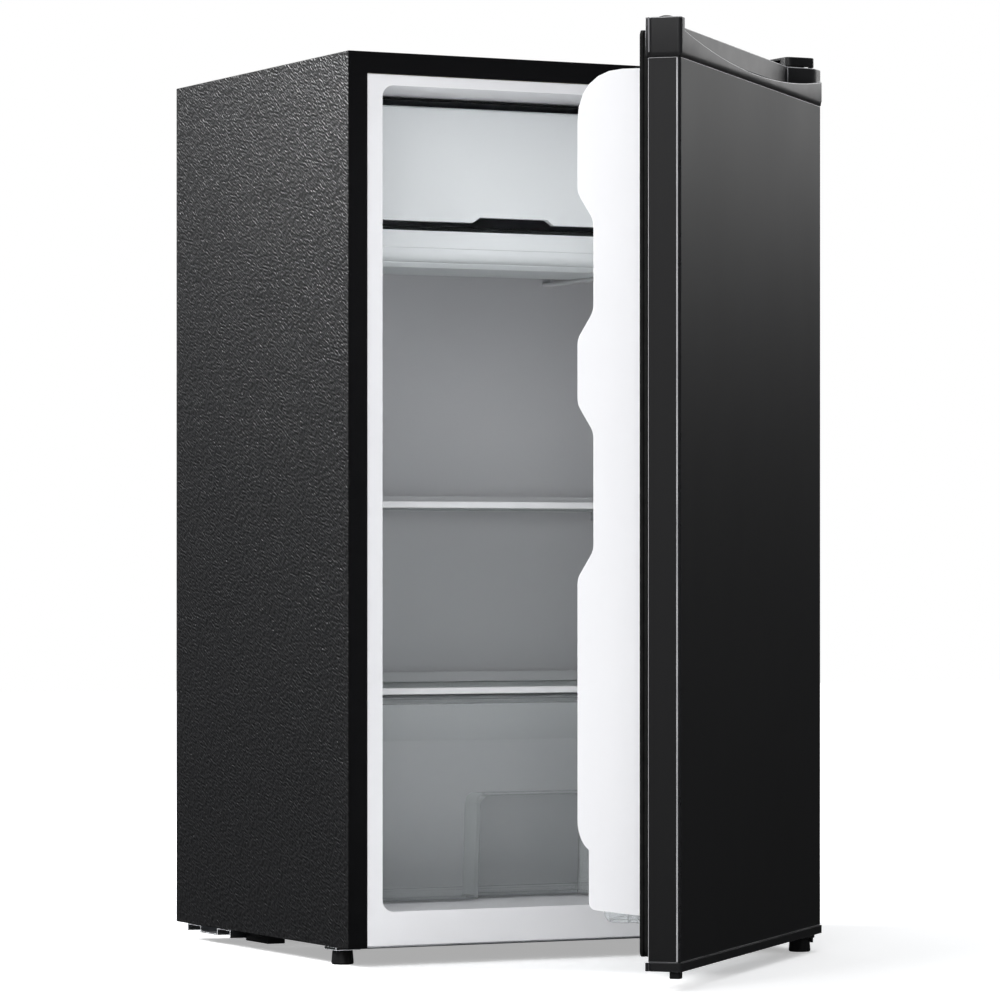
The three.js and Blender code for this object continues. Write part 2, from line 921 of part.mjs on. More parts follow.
// A rolled aluminium box, open at the front. The refrigerant runs in its walls.
function evaporatorBox() {
  const z0 = freezerFloor;
  const outer = alongY(
    roundedOutline(freezerLeft, freezerRight, z0, freezerTop, 8),
    freezerFront,
    freezerBack,
    3,
  );
  const s = freezerSheet;
  const inner = alongY(
    roundedOutline(freezerLeft + s, freezerRight - s, z0 + s, freezerTop - s, 7),
    freezerFront - 5,
    freezerBack - s,
    3,
  );
  return outer.subtract(inner);
}

const bracketWidth = 4.6;
const flapLeft = freezerLeft + bracketWidth + 0.6;
const flapRight = freezerRight - bracketWidth - 0.6;
const flapZ0 = freezerFloor + flapLift;
const flapZ1 = flapZ0 + flapHeight;
const flapPinZ = flapZ1 - 4;
const flapPinY = fittingFront + flapThickness / 2;
const flapPinRadius = 2.2;

// The freezer's flap: a flat tray-shaped moulding with a finger notch, hung on two stub pins.
function freezerFlap() {
  const middle = (flapLeft + flapRight) / 2;
  const outline = new THREE.Shape([
    [flapLeft, flapZ0],
    [middle - 42.5, flapZ0],
    [middle - 35.5, flapZ0 + 5],
    [middle + 35.5, flapZ0 + 5],
    [middle + 42.5, flapZ0],
    [flapRight, flapZ0],
    [flapRight, flapZ1],
    [flapLeft, flapZ1],
  ].map(([u, v]) => new THREE.Vector2(u, v)));
  const plate = alongY(outline, fittingFront, fittingFront + flapThickness);
  const dish = block(
    flapLeft + 3,
    flapRight - 3,
    fittingFront + 3,
    fittingFront + flapThickness + 1,
    flapZ0 + 9,
    flapZ1 - 9,
  );
  const [y0, y1] = [fittingFront - 1, fittingFront + 20];
  const overPins = block(flapLeft - 1, flapRight + 1, y0, y1, flapPinZ, flapZ1 + 1);
  const roundTop = overPins
    .subtract(rodAlongX(flapThickness / 2 + 0.4, flapLeft - 1, flapRight + 1, flapPinY, flapPinZ, 20));
  const pins = rodAlongX(flapPinRadius, flapLeft - 4, flapRight + 4, flapPinY, flapPinZ, 12);
  return plate.subtract(dish).subtract(roundTop).add(pins);
}

function flapBracket(x0) {
  const ear = block(
    x0,
    x0 + bracketWidth,
    fittingFront - 0.5,
    freezerFront - touchGap,
    flapPinZ - 7,
    underCorner,
  );
  const bore = rodAlongX(flapPinRadius + 0.6, x0 - 1, x0 + bracketWidth + 1, flapPinY, flapPinZ, 12);
  return ear.subtract(bore);
}

// A shallow tray under the freezer that catches melt water.
function dripTray() {
  const outer = alongX(
    trayOutline(0),
    freezerLeft,
    freezerRight,
  );
  const inner = alongX(trayOutline(2.2), freezerLeft + 2.2, freezerRight - 2.2);
  return outer.subtract(inner);
}

const trayStep = 1.2;

function trayOutline(inset) {
  const z1 = trayZ1 + (inset > 0 ? 10 : 0);
  const y0 = fittingFront + inset;
  const shape = new THREE.Shape();
  shape.moveTo(y0, z1);
  shape.lineTo(y0, trayZ0 + 12);
  shape.lineTo(y0 + trayStep, trayZ0 + 12);
  shape.quadraticCurveTo(y0 + trayStep, trayZ0 + inset, y0 + 16, trayZ0 + inset);
  shape.lineTo(trayBack - inset, trayZ0 + inset);
  shape.lineTo(trayBack - inset, z1);
  return shape;
}

// A ledge that the tray's right edge slides along, hung from the freezer box.
function trayRunner() {
  const shelf = block(
    freezerRight - 8,
    freezerRight + 3,
    fittingFront + 24,
    roomBack - touchGap,
    trayZ0 - touchGap - 3,
    trayZ0 - touchGap,
  );
  const hanger = block(
    freezerRight + touchGap + 0.3,
    freezerRight + 3,
    fittingFront + 24,
    roomBack - touchGap,
    trayZ0 - touchGap - 1,
    trayZ1 + 2,
  );
  return shelf.add(hanger);
}

const controlLeft = freezerRight + 5;
const controlRight = roomRight - 2;
const controlFront = fittingFront + 10;
const controlBottom = flapZ0 + 10;
const knobX = (controlLeft + controlRight) / 2;
const knobZ = controlBottom + 50;

function thermostatHousing() {
  const body = alongX(
    outlineOf([
      [controlFront, controlBottom + 14],
      [controlFront + 12, controlBottom],
      [controlFront + 130, controlBottom],
      [controlFront + 130, underCorner],
      [controlFront, underCorner],
    ]),
    controlLeft,
    controlRight,
  );
  return body.subtract(rodAlongY(4.5, knobX, controlFront - 5, controlFront + 12, knobZ, 14));
}

function thermostatKnob() {
  const dial = rodAlongY(16, knobX, controlFront - 10, controlFront - touchGap, knobZ, 28);
  const grip = block(knobX - 3, knobX + 3, controlFront - 14, controlFront - 6, knobZ - 14, knobZ + 14);
  const spindle = rodAlongY(3.5, knobX, controlFront - 2, controlFront + 10, knobZ, 14);
  return joined(dial, grip, spindle);
}

// ---------------------------------------------------------------- door shell

const sheetBottom = bottomSeam + touchGap;
const sheetTop = topSeam - touchGap;
const inwardLip = 12;

// The painted outer sheet, folded round both long edges with a lip behind the liner's edge.
function doorPanel() {
  const outer = roundedOutline(doorLeft, doorRight, doorOuter, doorInner + 20, doorRadius);
  const inner = roundedOutline(
    doorLeft + doorSheet,
    doorRight - doorSheet,
    doorOuter + doorSheet,
    doorInner + 21,
    doorRadius - doorSheet,
  );
  const pan = raised(outer, sheetBottom, sheetTop).subtract(raised(inner, 0, top + 50));
  const trimmed = pan.subtract(block(left - 10, right + 10, doorInner, doorInner + 40, 0, top + 50));
  const lip = (x0, x1) => block(x0, x1, doorInner - doorSheet, doorInner, sheetBottom, sheetTop);
  return joined(
    trimmed,
    lip(doorLeft + 0.3, doorLeft + inwardLip),
    lip(doorRight - inwardLip, doorRight - 0.3),
  );
}

const boreRadius = pinRadius + runningGap;
const bushWall = 2.2;
const bushRise = 12;
const plugX = doorLeft + pinFromSide;
const padReach = 1.2;

function capOutline(proud) {
  return roundedOutline(
    doorLeft - proud,
    doorRight,
    doorOuter - proud,
    doorInner,
    doorRadius,
  );
}

const scoopLeft = doorLeft + 10;
const scoopRight = doorRight - 1;
const scoopRear = doorOuter + 20.5;
const scoopLip = 1.6;
const bossSetback = 0.4;
const bossReach = 45;

// The scoop's plan: a long straight back wall that swings forward round the hinge boss.
function scoopPlan() {
  const lipInner = doorOuter - capProud + scoopLip;
  const shape = new THREE.Shape();
  shape.moveTo(scoopLeft, lipInner);
  shape.lineTo(scoopRight + 10, lipInner);
  shape.lineTo(scoopRight + 10, lipInner + bossSetback);
  shape.lineTo(doorRight - 12, lipInner + bossSetback);
  shape.bezierCurveTo(
    doorRight - 28,
    lipInner + bossSetback,
    doorRight - bossReach + 12,
    scoopRear - 6,
    doorRight - bossReach,
    scoopRear,
  );
  shape.lineTo(scoopLeft, scoopRear);
  return shape;
}

// The moulded cap on the door's top edge, with a scooped grip behind a lip that dips in the middle.
function doorTopCap() {
  const endPad = block(
    doorLeft - capProud,
    doorLeft + padReach,
    doorInner - 1,
    doorInner + 2,
    topSeam,
    doorTop,
  );
  const whole = raised(capOutline(capProud), topSeam, doorTop).add(endPad);
  const scoop = raised(scoopPlan(), topSeam + 7, doorTop + 20, 8);
  const lipFar = topCapHeight * 0.68;
  const lipNear = topCapHeight * 0.22;
  const dip = new THREE.Shape();
  dip.moveTo(scoopLeft, doorTop + 5);
  dip.lineTo(scoopLeft, topSeam + lipFar);
  const dipMiddle = (scoopLeft + doorRight) / 2;
  dip.quadraticCurveTo(dipMiddle, topSeam + 2 * lipNear - lipFar, doorRight + 1, topSeam + lipFar);
  dip.lineTo(doorRight + 1, doorTop + 5);
  const lipCut = alongY(dip, doorOuter - 10, doorOuter - capProud + scoopLip + 0.5, 16);
  const pinBore = rod(boreRadius, pinX, pinY, doorTop - pinReach + 1, doorTop + 20);
  const plugBore = rod(5, plugX, pinY, doorTop - 12, doorTop + 20);
  const linerRoom = block(
    doorLeft + inwardLip - 0.5,
    doorRight - inwardLip + 0.5,
    doorInner - linerSheet - touchGap,
    doorInner + 1,
    0,
    linerTop + touchGap,
  );
  return whole.subtract(scoop).subtract(lipCut).subtract(pinBore).subtract(plugBore).subtract(linerRoom);
}

function doorBottomCap() {
  const padLeft = doorLeft - capProud;
  const endPad = block(padLeft, doorLeft + padReach, doorInner - 1, doorInner + 2, doorBottom, bottomSeam);
  return raised(capOutline(capProud), doorBottom, bottomSeam)
    .add(endPad)
    .subtract(rod(boreRadius + bushWall + touchGap, pinX, pinY, 0, top));
}

// A plastic bush in the bottom cap that the lower pin turns in.
function hingeBush() {
  return rod(boreRadius + bushWall, pinX, pinY, doorBottom + 0.2, bottomSeam + bushRise)
    .subtract(rod(boreRadius, pinX, pinY, 0, bottomSeam + bushRise - 1));
}

function stopLug() {
  const z0 = doorBottom - 6.2;
  return raised(
    roundedOutline(doorLeft + 2, doorLeft + 12, doorOuter + 1, doorOuter + 10.5, 2),
    z0,
    doorBottom - touchGap,
    3,
  );
}

function hingeHolePlug() {
  return turned([
    [0, doorTop - 8],
    [4.4, doorTop - 8],
    [4.4, doorTop + touchGap],
    [7.6, doorTop + touchGap],
    [6.4, doorTop + 1.8],
    [3.4, doorTop + 2.7],
    [0, doorTop + 2.9],
  ], plugX, pinY, 16);
}

// ---------------------------------------------------------------- door liner

const linerTop = doorTop - 16;
const linerBottom = doorBottom + 14;
const linerLeft = doorLeft + inwardLip + 1;
const linerRight = doorRight - inwardLip - 1;
const dikeTop = doorTop - dikeUnderTop;
const dikeBottom = doorBottom + dikeAboveBottom;
const freeDikeX = doorLeft + freeDikeInset;
const hingeDikeX = doorRight - hingeDikeInset;
const topLedge = dikeTop - topRackDrop;
const bottomLedge = doorBottom + bottomRackLift;
const middleLedge = (topLedge + bottomLedge) / 2 + middleRackRise;
const ledges = [bottomLedge, middleLedge, topLedge];
const upperRecess = [topLedge + rackHeights[2] + recessOverTopRack, dikeTop - recessDrop];
const lowerRecess = [middleLedge + rackHeights[1] + recessOverMiddleRack, topLedge - recessUnderRack];
const recessRamp = 24;
const rampCorner = 5;

// The straight slope at one end of a recess, with a softly rounded corner above and below.
function recessSlope(shape, y0, y1, z0) {
  const z1 = z0 + recessRamp;
  const run = (y1 - y0) * rampCorner / recessRamp;
  shape.lineTo(y0, z0 - rampCorner);
  shape.quadraticCurveTo(y0, z0, y0 + run, z0 + rampCorner);
  shape.lineTo(y1 - run, z1 - rampCorner);
  shape.quadraticCurveTo(y1, z1, y1, z1 + rampCorner);
}

// A dike's side view: a tall rib that rounds over at the top and steps back at each recess.
function dikeSideView(inset, low) {
  const y = (depth) => doorInner + depth - inset;
  const base = doorInner - linerSheet - 1;
  const full = y(dikeDepth);
  const shape = new THREE.Shape();
  shape.moveTo(base, dikeBottom + inset);
  const foot = y(dikeFootDepth);
  shape.lineTo(foot - 5.4, dikeBottom + 6 + inset);
  shape.quadraticCurveTo(foot, dikeBottom + 7 + inset, foot, dikeBottom + 14 + inset);
  shape.lineTo(foot, dikeBottom + 58);
  shape.quadraticCurveTo(full - 2, dikeBottom + 64, full, dikeBottom + 80);
  [lowerRecess, upperRecess].forEach(([z0, z1]) => {
    const back1 = y(dikeDepth - dikeRecess);
    recessSlope(shape, full, back1, z0 - recessRamp);
    if (low && z1 > topLedge) return;
    recessSlope(shape, back1, full, z1);
  });
  if (low) {
    const shallow = y(hingeDikeShallow);
    const lowTop = dikeTop - hingeDikeTop;
    shape.lineTo(y(dikeDepth - dikeRecess), lowTop - 30);
    shape.quadraticCurveTo(y(dikeDepth - dikeRecess), lowTop, y(hingeDikeNeck), lowTop);
    shape.quadraticCurveTo(shallow, lowTop, shallow, lowTop + 24);
    shape.lineTo(shallow, dikeTop - inset - 12);
    shape.lineTo(y(12), dikeTop - inset);
  } else {
    shape.lineTo(full, dikeTop - 44);
    shape.bezierCurveTo(full, dikeTop - 18, y(62), dikeTop - inset, y(36), dikeTop - inset);
  }
  shape.lineTo(base, dikeTop - inset);
  return shape;
}

function dikes(inset) {
  const steps = 6;
  const width = dikeWidth - 2 * inset;
  const freeX = freeDikeX + inset;
  const hingeX = hingeDikeX - inset;
  const freeDike = alongX(dikeSideView(inset, false), freeX, freeX + width, steps);
  const hingeDike = alongX(dikeSideView(inset, true), hingeX - width, hingeX, steps);
  return freeDike.add(hingeDike);
}

const rackEnd = 4;
const hookRadius = 3;

function hookZ(index) {
  return ledges[index] + rackHeights[index] * 0.55;
}

function hookY() {
  return doorInner + rackDepth * 0.55;
}

function doorLiner() {
  const plateY = doorInner - linerSheet;
  const plate = block(linerLeft, linerRight, plateY, doorInner - 0.1, linerBottom, linerTop);
  const faces = block(linerLeft, linerRight, plateY, doorInner + 200, linerBottom, linerTop);
  const shell = joined(plate, dikes(0).intersect(faces));
  const hooks = ledges.map((_, i) => joined(
    rodAlongX(hookRadius, freeDikeX + dikeWidth - 1, freeDikeX + dikeWidth + 5, hookY(), hookZ(i), 10),
    rodAlongX(hookRadius, hingeDikeX - dikeWidth - 5, hingeDikeX - dikeWidth + 1, hookY(), hookZ(i), 10),
  ));
  return joined(shell.subtract(dikes(linerSheet)), ...hooks);
}

function doorFoam() {
  const inset = doorSheet + touchGap;
  const slab = raised(
    roundedOutline(
      doorLeft + inset,
      doorRight - inset,
      doorOuter + inset,
      doorInner - linerSheet - touchGap,
      doorRadius,
    ),
    bottomSeam + bushRise + touchGap,
    topSeam - touchGap,
  );
  return slab.add(dikes(linerSheet + touchGap).subtract(
    block(left, right, doorInner - 30, doorInner - linerSheet - touchGap, 0, top + 50),
  ));
}

const gasketOut = 1.5;
const gasketWidth = 22;
const gasketPastPin = 2.5;

// A hollow-lipped magnetic seal, drawn as a ring between the door and the cabinet's front.
function gasketRing() {
  const y0 = doorInner + touchGap;
  const y1 = front - touchGap;
  const z0 = doorBottom + 11.7;
  const z1 = doorTop - 10;
  const x0 = doorLeft + gasketOut;
  const x1 = pinX + gasketPastPin;
  const ring = (grow, a, b) => alongY(
    roundedOutline(x0 + grow, x1 - grow, z0 + grow, z1 - grow, 6),
    a,
    b,
    3,
  ).subtract(alongY(
    roundedOutline(
      x0 + gasketWidth - grow,
      x1 - gasketWidth + grow,
      z0 + gasketWidth - grow,
      z1 - gasketWidth + grow,
      4,
    ),
    a - 1,
    b + 1,
    3,
  ));
  const waist = (y0 + y1) / 2;
  return joined(
    ring(0, y0, waist - 0.9),
    ring(1.6, waist - 1, waist + 1),
    ring(0, waist + 0.9, y1),
  );
}

// ---------------------------------------------------------------- door racks

function doorRack(index) {
  const z0 = ledges[index];
  const z1 = z0 + rackHeights[index];
  const x0 = freeDikeX + dikeWidth + 1.5;
  const x1 = hingeDikeX - dikeWidth - 1.5;
  const y0 = doorInner + 1;
  const y1 = doorInner + rackDepth;
  const side = new THREE.Shape();
  side.moveTo(y0, z0);
  side.lineTo(y1 - 10, z0);
  side.quadraticCurveTo(y1 - 3, z0, y1 - 2, z0 + 10);
  side.lineTo(y1, z1);
  side.lineTo(y0, z1);
  const outer = alongX(side, x0, x1, 3);
  const wall = 2.4;
  const inner = block(x0 + rackEnd, x1 - rackEnd, y0 + wall, y1 - wall - 3, z0 + wall, z1 + 20);
  const lowBack = block(x0 + rackEnd, x1 - rackEnd, y0 - 1, y0 + wall + 1, z0 + 22, z1 + 20);
  const slot = (a, b) => {
    const r = hookRadius + 0.8;
    const y = hookY();
    return block(a, b, y - r, y + r, z0 - 5, hookZ(index) + r);
  };
  return outer
    .subtract(inner)
    .subtract(lowBack)
    .subtract(slot(x0 - 1, x0 + rackEnd - 0.2 + 1))
    .subtract(slot(x1 - rackEnd + 0.2 - 1, x1 + 1));
}

// ---------------------------------------------------------------- assembly

addFixed('outer_shell', outerShell(), grainedSteel);
addFixed('floor_panel', floorPanel(), zincSteel);
addFixed('back_panel', backPanel(), doorSteel);
addFixed('inner_liner', innerLiner(), whitePlastic);
addFixed('cabinet_foam', cabinetFoam(), foam);

addFixed('base_plate', basePlate(), zincSteel);
addFixed('base_rail_left', baseRail(-1), blackPlastic);
addFixed('base_rail_right', baseRail(1), blackPlastic);
addFixed('left_foot_plate', leftFootPlate(), zincSteel);
addFixed('front_left_foot', levellingFoot(leftFootX, leftFootY, plateTop - footPlate - 0.4), blackPlastic);
addFixed('front_right_foot', levellingFoot(pinX, pinY, plateTop - footPlate - 0.4), blackPlastic);
addFixed('rear_left_foot', rearFoot(left + 82), blackRubber);
addFixed('rear_right_foot', rearFoot(right - 82), blackRubber);

addFixed('lower_hinge_bracket', lowerHingeBracket(), blackEnamel);
addFixed('upper_hinge_leaf', upperHingeLeaf(), zincSteel);
addFixed('hinge_cover', hingeCover(), blackPlastic);
addFixed('hinge_screw_1', hingeScrew(front + 22), zincSteel);
addFixed('hinge_screw_2', hingeScrew(front + 42), zincSteel);

addFixed('compressor', compressorShell(), blackEnamel);
[[-1, -1], [1, -1], [-1, 1], [1, 1]].forEach(([sx, sy], i) => {
  const y = sy < 0 ? frontChannel + channelWidth / 2 : rearChannel + channelWidth / 2;
  addFixed(`compressor_grommet_${i + 1}`, grommet(compressorX + sx * mountSpacing, y), blackRubber);
});
addFixed('starter_cover', starterCover(), blackPlastic);
addFixed('evaporating_pan', evaporatingPan(), blackPlastic);
addFixed('drain_tube', drainTube(), whitePlastic);
addFixed('filter_drier', filterDrier(), copper);
addFixed('suction_tube', suctionTube(), copper);
addFixed('cord_gland', cordGland(), blackRubber);
addFixed('condenser_coil', condenserCoil(), blackEnamel);
addFixed('condenser_bracket_left', condenserBracket(-1), blackPlastic);
addFixed('condenser_bracket_right', condenserBracket(1), blackPlastic);

addFixed('evaporator_box', evaporatorBox(), aluminium);
addFixed('flap_bracket_left', flapBracket(freezerLeft), whitePlastic);
addFixed('flap_bracket_right', flapBracket(freezerRight - bracketWidth), whitePlastic);
addFixed('freezer_flap', freezerFlap(), milkyPlastic);
addFixed('drip_tray', dripTray(), milkyPlastic);
addFixed('tray_runner', trayRunner(), whitePlastic);
addFixed('thermostat_housing', thermostatHousing(), whitePlastic);
addFixed('thermostat_knob', thermostatKnob(), whitePlastic);

[['upper', upperShelfZ], ['lower', lowerShelfZ]].forEach(([name, z]) => {
  addFixed(`${name}_shelf_glass`, glassPlate(z, 0), shelfGlass);
  addFixed(`${name}_shelf_front_trim`, shelfTrim(z, fittingFront, 0), whitePlastic);
  addFixed(`${name}_shelf_rear_trim`, shelfTrim(z, shelfBack - trimDepth, 9), whitePlastic);
});
addFixed('crisper_drawer', crisperDrawer(), clearPlastic);

addDoor('door_panel', doorPanel(), doorSteel);
addDoor('door_top_cap', doorTopCap(), blackPlastic);
addDoor('door_bottom_cap', doorBottomCap(), blackPlastic);
addDoor('hinge_bush', hingeBush(), whitePlastic);
addDoor('hinge_hole_plug', hingeHolePlug(), blackPlastic);
addDoor('door_stop_lug', stopLug(), blackPlastic);
addDoor('door_foam', doorFoam(), foam);
addDoor('door_liner', doorLiner(), whitePlastic);
addDoor('door_gasket', gasketRing(), blackRubber);
['bottom', 'middle', 'top'].forEach((name, i) => {
  addDoor(`${name}_door_rack`, doorRack(i), clearPlastic);
});

export default group;
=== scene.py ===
import math

import bmesh
import bpy
from mathutils import Matrix, Vector


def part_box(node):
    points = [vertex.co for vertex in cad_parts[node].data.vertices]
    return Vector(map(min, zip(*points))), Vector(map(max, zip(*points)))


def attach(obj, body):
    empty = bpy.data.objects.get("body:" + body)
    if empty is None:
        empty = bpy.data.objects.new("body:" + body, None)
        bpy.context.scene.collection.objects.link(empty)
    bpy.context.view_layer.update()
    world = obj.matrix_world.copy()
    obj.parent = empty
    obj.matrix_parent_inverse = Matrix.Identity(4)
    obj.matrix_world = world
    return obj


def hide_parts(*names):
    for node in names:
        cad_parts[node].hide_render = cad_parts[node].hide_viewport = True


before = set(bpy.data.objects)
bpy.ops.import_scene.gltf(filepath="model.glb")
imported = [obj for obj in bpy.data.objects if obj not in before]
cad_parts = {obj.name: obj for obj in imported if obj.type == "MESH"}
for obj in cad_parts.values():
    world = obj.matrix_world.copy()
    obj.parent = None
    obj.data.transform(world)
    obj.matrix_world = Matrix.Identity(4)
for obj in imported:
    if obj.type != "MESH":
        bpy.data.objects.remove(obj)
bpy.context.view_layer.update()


# ------------------------------------------------------------------ studio
# A camera a little below the middle of the fridge, level, looking at the cabinet's left front
# corner. A wide pale floor, large soft lights over the front and above, and smaller ones that
# graze each side of the cabinet and the door from behind and from the left.

camera_data = bpy.data.cameras.new("studio_camera")
camera_data.sensor_width = 36.0
camera_data.lens = 174.28
camera_data.shift_y = 0.0692
camera_data.clip_start = 0.1
camera_data.clip_end = 60.0
camera = bpy.data.objects.new("studio_camera", camera_data)
camera.location = (-2.0936, -4.1431, 0.3591)
camera.rotation_euler = (math.radians(90.0), 0.0, math.radians(-26.983))
bpy.context.scene.collection.objects.link(camera)
bpy.context.scene.camera = camera
bpy.context.scene.view_settings.view_transform = "Standard"


def soft_light(name, place, aim, width, height, power):
    data = bpy.data.lights.new(name, "AREA")
    data.shape = "RECTANGLE"
    data.size = width
    data.size_y = height
    data.energy = power
    lamp = bpy.data.objects.new(name, data)
    lamp.location = place
    lamp.rotation_euler = (Vector(aim) - Vector(place)).to_track_quat("-Z", "Y").to_euler()
    bpy.context.scene.collection.objects.link(lamp)


soft_light("front_light", (-2.4, -3.9, 2.1), (0.0, -0.1, 0.45), 2.2, 1.6, 32.0)
soft_light("left_rear_light", (-1.85, 1.35, 1.95), (-0.24, 0.0, 0.8), 0.8, 1.0, 98.0)
soft_light("right_rear_light", (2.2, 0.7, 1.5), (0.1, -0.4, 0.75), 0.9, 1.2, 8.5)
soft_light("left_side_light", (-2.9, -1.9, 2.3), (-0.1, -0.5, 0.8), 0.8, 1.0, 24.0)
soft_light("top_light", (0.0, -0.6, 4.2), (0.0, 0.0, 0.4), 3.0, 3.0, 46.0)

studio_world = bpy.data.worlds.new("studio_world")
bpy.context.scene.world = studio_world
studio_world.use_nodes = True
world_nodes = studio_world.node_tree.nodes
world_links = studio_world.node_tree.links
world_nodes.clear()
world_output = world_nodes.new("ShaderNodeOutputWorld")
sky_seen = world_nodes.new("ShaderNodeBackground")
sky_seen.inputs["Color"].default_value = (1.0, 1.0, 1.0, 1.0)
sky_seen.inputs["Strength"].default_value = 1.0
sky_light = world_nodes.new("ShaderNodeBackground")
sky_light.inputs["Color"].default_value = (0.96, 0.98, 1.0, 1.0)
sky_way = world_nodes.new("ShaderNodeTexCoord")
sky_height = world_nodes.new("ShaderNodeSeparateXYZ")
sky_fade = world_nodes.new("ShaderNodeMapRange")
sky_fade.inputs["From Min"].default_value = 0.12
sky_fade.inputs["From Max"].default_value = 0.8
sky_fade.inputs["To Min"].default_value = 0.012
sky_fade.inputs["To Max"].default_value = 0.62
world_links.new(sky_way.outputs["Generated"], sky_height.inputs["Vector"])
world_links.new(sky_height.outputs["Z"], sky_fade.inputs["Value"])
world_links.new(sky_fade.outputs["Result"], sky_light.inputs["Strength"])
ray_kind = world_nodes.new("ShaderNodeLightPath")
sky_choice = world_nodes.new("ShaderNodeMixShader")
world_links.new(ray_kind.outputs["Is Camera Ray"], sky_choice.inputs["Fac"])
world_links.new(sky_light.outputs["Background"], sky_choice.inputs[1])
world_links.new(sky_seen.outputs["Background"], sky_choice.inputs[2])
world_links.new(sky_choice.outputs["Shader"], world_output.inputs["Surface"])


def new_finish(name, colour, roughness, metallic=0.0, specular=0.5):
    """A material with one surface shader, ready for its own colour, gloss and relief."""
    material = bpy.data.materials.new(name)
    material.use_nodes = True
    shader = material.node_tree.nodes["Principled BSDF"]
    shader.inputs["Base Color"].default_value = (*colour, 1.0)
    shader.inputs["Roughness"].default_value = roughness
    shader.inputs["Metallic"].default_value = metallic
    shader.inputs["Specular IOR Level"].default_value = specular
    return material


def speckle(material, scale, stretch=(1.0, 1.0, 1.0), turn=(0.0, 0.0, 0.0), detail=3.0):
    """An uneven field over the piece. A stretch above 1 draws its spots out along that axis."""
    nodes = material.node_tree.nodes
    links = material.node_tree.links
    place = nodes.new("ShaderNodeTexCoord")
    mapping = nodes.new("ShaderNodeMapping")
    mapping.vector_type = "TEXTURE"
    mapping.inputs["Rotation"].default_value = turn
    mapping.inputs["Scale"].default_value = stretch
    noise = nodes.new("ShaderNodeTexNoise")
    noise.inputs["Scale"].default_value = scale
    noise.inputs["Detail"].default_value = detail
    links.new(place.outputs["Object"], mapping.inputs["Vector"])
    links.new(mapping.outputs["Vector"], noise.inputs["Vector"])
    return noise.outputs["Fac"]


def tinted(material, field, dark, light):
    """The colour goes from dark to light with the field."""
    nodes = material.node_tree.nodes
    ramp = nodes.new("ShaderNodeValToRGB")
    ramp.color_ramp.elements[0].position = 0.3
    ramp.color_ramp.elements[0].color = (*dark, 1.0)
    ramp.color_ramp.elements[1].position = 0.7
    ramp.color_ramp.elements[1].color = (*light, 1.0)
    material.node_tree.links.new(field, ramp.inputs["Fac"])
    shader = nodes["Principled BSDF"]
    material.node_tree.links.new(ramp.outputs["Color"], shader.inputs["Base Color"])


def dulled(material, field, glossiest, dullest):
    """The roughness goes from glossiest to dullest with the field."""
    nodes = material.node_tree.nodes
    spread = nodes.new("ShaderNodeMapRange")
    spread.inputs["From Min"].default_value = 0.3
    spread.inputs["From Max"].default_value = 0.7
    spread.inputs["To Min"].default_value = glossiest
    spread.inputs["To Max"].default_value = dullest
    material.node_tree.links.new(field, spread.inputs["Value"])
    shader = nodes["Principled BSDF"]
    material.node_tree.links.new(spread.outputs["Result"], shader.inputs["Roughness"])


def embossed(material, field, depth, strength):
    """The field becomes a relief of that depth in metres, on top of any relief already there."""
    nodes = material.node_tree.nodes
    links = material.node_tree.links
    shader = nodes["Principled BSDF"]
    bump = nodes.new("ShaderNodeBump")
    bump.inputs["Distance"].default_value = depth
    bump.inputs["Strength"].default_value = strength
    links.new(field, bump.inputs["Height"])
    if shader.inputs["Normal"].is_linked:
        links.new(shader.inputs["Normal"].links[0].from_socket, bump.inputs["Normal"])
    links.new(bump.outputs["Normal"], shader.inputs["Normal"])


def studio_floor_paper():
    """White paper, lit a little near the fridge and up to the backdrop's white further away."""
    material = new_finish("studio_floor_paper", (0.9, 0.9, 0.9), 0.7, specular=0.1)
    tinted(material, speckle(material, 3.0), (0.9, 0.9, 0.905), (0.93, 0.93, 0.935))
    nodes = material.node_tree.nodes
    links = material.node_tree.links
    place = nodes.new("ShaderNodeTexCoord")
    distance = nodes.new("ShaderNodeVectorMath")
    distance.operation = "LENGTH"
    far = nodes.new("ShaderNodeMapRange")
    far.interpolation_type = "SMOOTHSTEP"
    far.inputs["From Min"].default_value = 0.5
    far.inputs["From Max"].default_value = 2.0
    far.inputs["To Min"].default_value = 0.4
    shader = nodes["Principled BSDF"]
    shader.inputs["Emission Color"].default_value = (1.0, 1.0, 1.0, 1.0)
    links.new(place.outputs["Object"], distance.inputs[0])
    links.new(distance.outputs["Value"], far.inputs["Value"])
    links.new(far.outputs["Result"], shader.inputs["Emission Strength"])
    return material


floor_mesh = bpy.data.meshes.new("studio_floor")
floor_bm = bmesh.new()
bmesh.ops.create_grid(floor_bm, x_segments=8, y_segments=8, size=9.0)
floor_bm.to_mesh(floor_mesh)
floor_bm.free()
floor_mesh.materials.append(studio_floor_paper())
floor = bpy.data.objects.new("studio_floor", floor_mesh)
bpy.context.scene.collection.objects.link(floor)
floor.visible_glossy = False


# ------------------------------------------------------------------ cabinet shell
# The wrap is one sheet of steel, folded down both sides and rolled with a leather grain before
# it is painted black. The flat returns round the door opening are the same sheet, left smooth.

def placed(bm, name, body, material, smooth=True):
    """Makes the mesh an object of its own, riding on its body."""
    mesh = bpy.data.meshes.new(name)
    bm.to_mesh(mesh)
    bm.free()
    mesh.materials.append(material)
    piece = bpy.data.objects.new(name, mesh)
    bpy.context.scene.collection.objects.link(piece)
    if smooth:
        mesh.polygons.foreach_set("use_smooth", [True] * len(mesh.polygons))
        evened = piece.modifiers.new("evened", "WEIGHTED_NORMAL")
        evened.weight = 50
        evened.mode = "FACE_AREA"
    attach(piece, body)
    return piece


